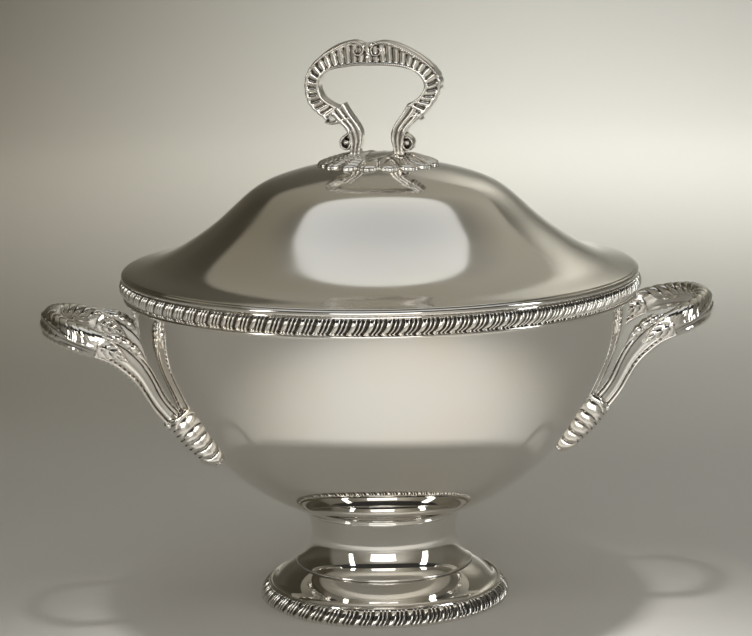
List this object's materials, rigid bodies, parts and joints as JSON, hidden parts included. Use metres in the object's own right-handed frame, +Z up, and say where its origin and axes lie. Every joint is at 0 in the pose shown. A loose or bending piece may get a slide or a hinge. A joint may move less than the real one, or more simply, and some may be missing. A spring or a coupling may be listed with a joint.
{
  "type": "soup tureen",
  "caption": "Round pedestal tureen with a lift-off ogee dome lid, cast loop handle, cast side handles and gadrooned rim and foot; serves and keeps soup hot.",
  "frame": {"origin": "on the table, under the middle of the foot", "axes": "+Z up along the axis of the bowl; +X through the middle of the right-hand side handle; the front of the tureen faces -Y"},
  "size_m": [0.3686, 0.2816, 0.3057],
  "materials": {
    "spun_silver": "mirror-polished silver plate on spun metal, faintly warm",
    "wire_silver": "polished silver-plated wire and bead",
    "border_silver": "polished cast gadroons with darker tarnish between them",
    "cast_silver": "polished cast leaves and scrolls with darker tarnish in the hollows",
    "fastener_brass": "plain turned brass, slightly dull"
  },
  "bodies": {
    "bowl": {"bowl_shell": "spun_silver", "rim_gadroon_border": "border_silver", "foot_neck": "spun_silver", "foot_seam_wire": "wire_silver", "foot_base": "spun_silver", "foot_gadroon_border": "border_silver", "right_handle_grip": "cast_silver", "right_handle_front_arm": "cast_silver", "right_handle_rear_arm": "cast_silver", "right_handle_front_leaf_mount": "cast_silver", "right_handle_rear_leaf_mount": "cast_silver", "left_handle_grip": "cast_silver", "left_handle_front_arm": "cast_silver", "left_handle_rear_arm": "cast_silver", "left_handle_front_leaf_mount": "cast_silver", "left_handle_rear_leaf_mount": "cast_silver"},
    "lid": {"lid_dome": "spun_silver", "lid_edge_bead": "wire_silver", "lid_bezel": "spun_silver", "lid_handle_loop": "cast_silver", "lid_handle_leaf_plate": "cast_silver", "lid_handle_studs": "fastener_brass", "lid_handle_washers": "fastener_brass", "lid_handle_nuts": "fastener_brass"}
  },
  "joints": [
    {"name": "lid_lift", "type": "slide", "parent": "bowl", "child": "lid", "axis": [0, 0, 1], "range_m": [0, 0.15]}
  ]
}
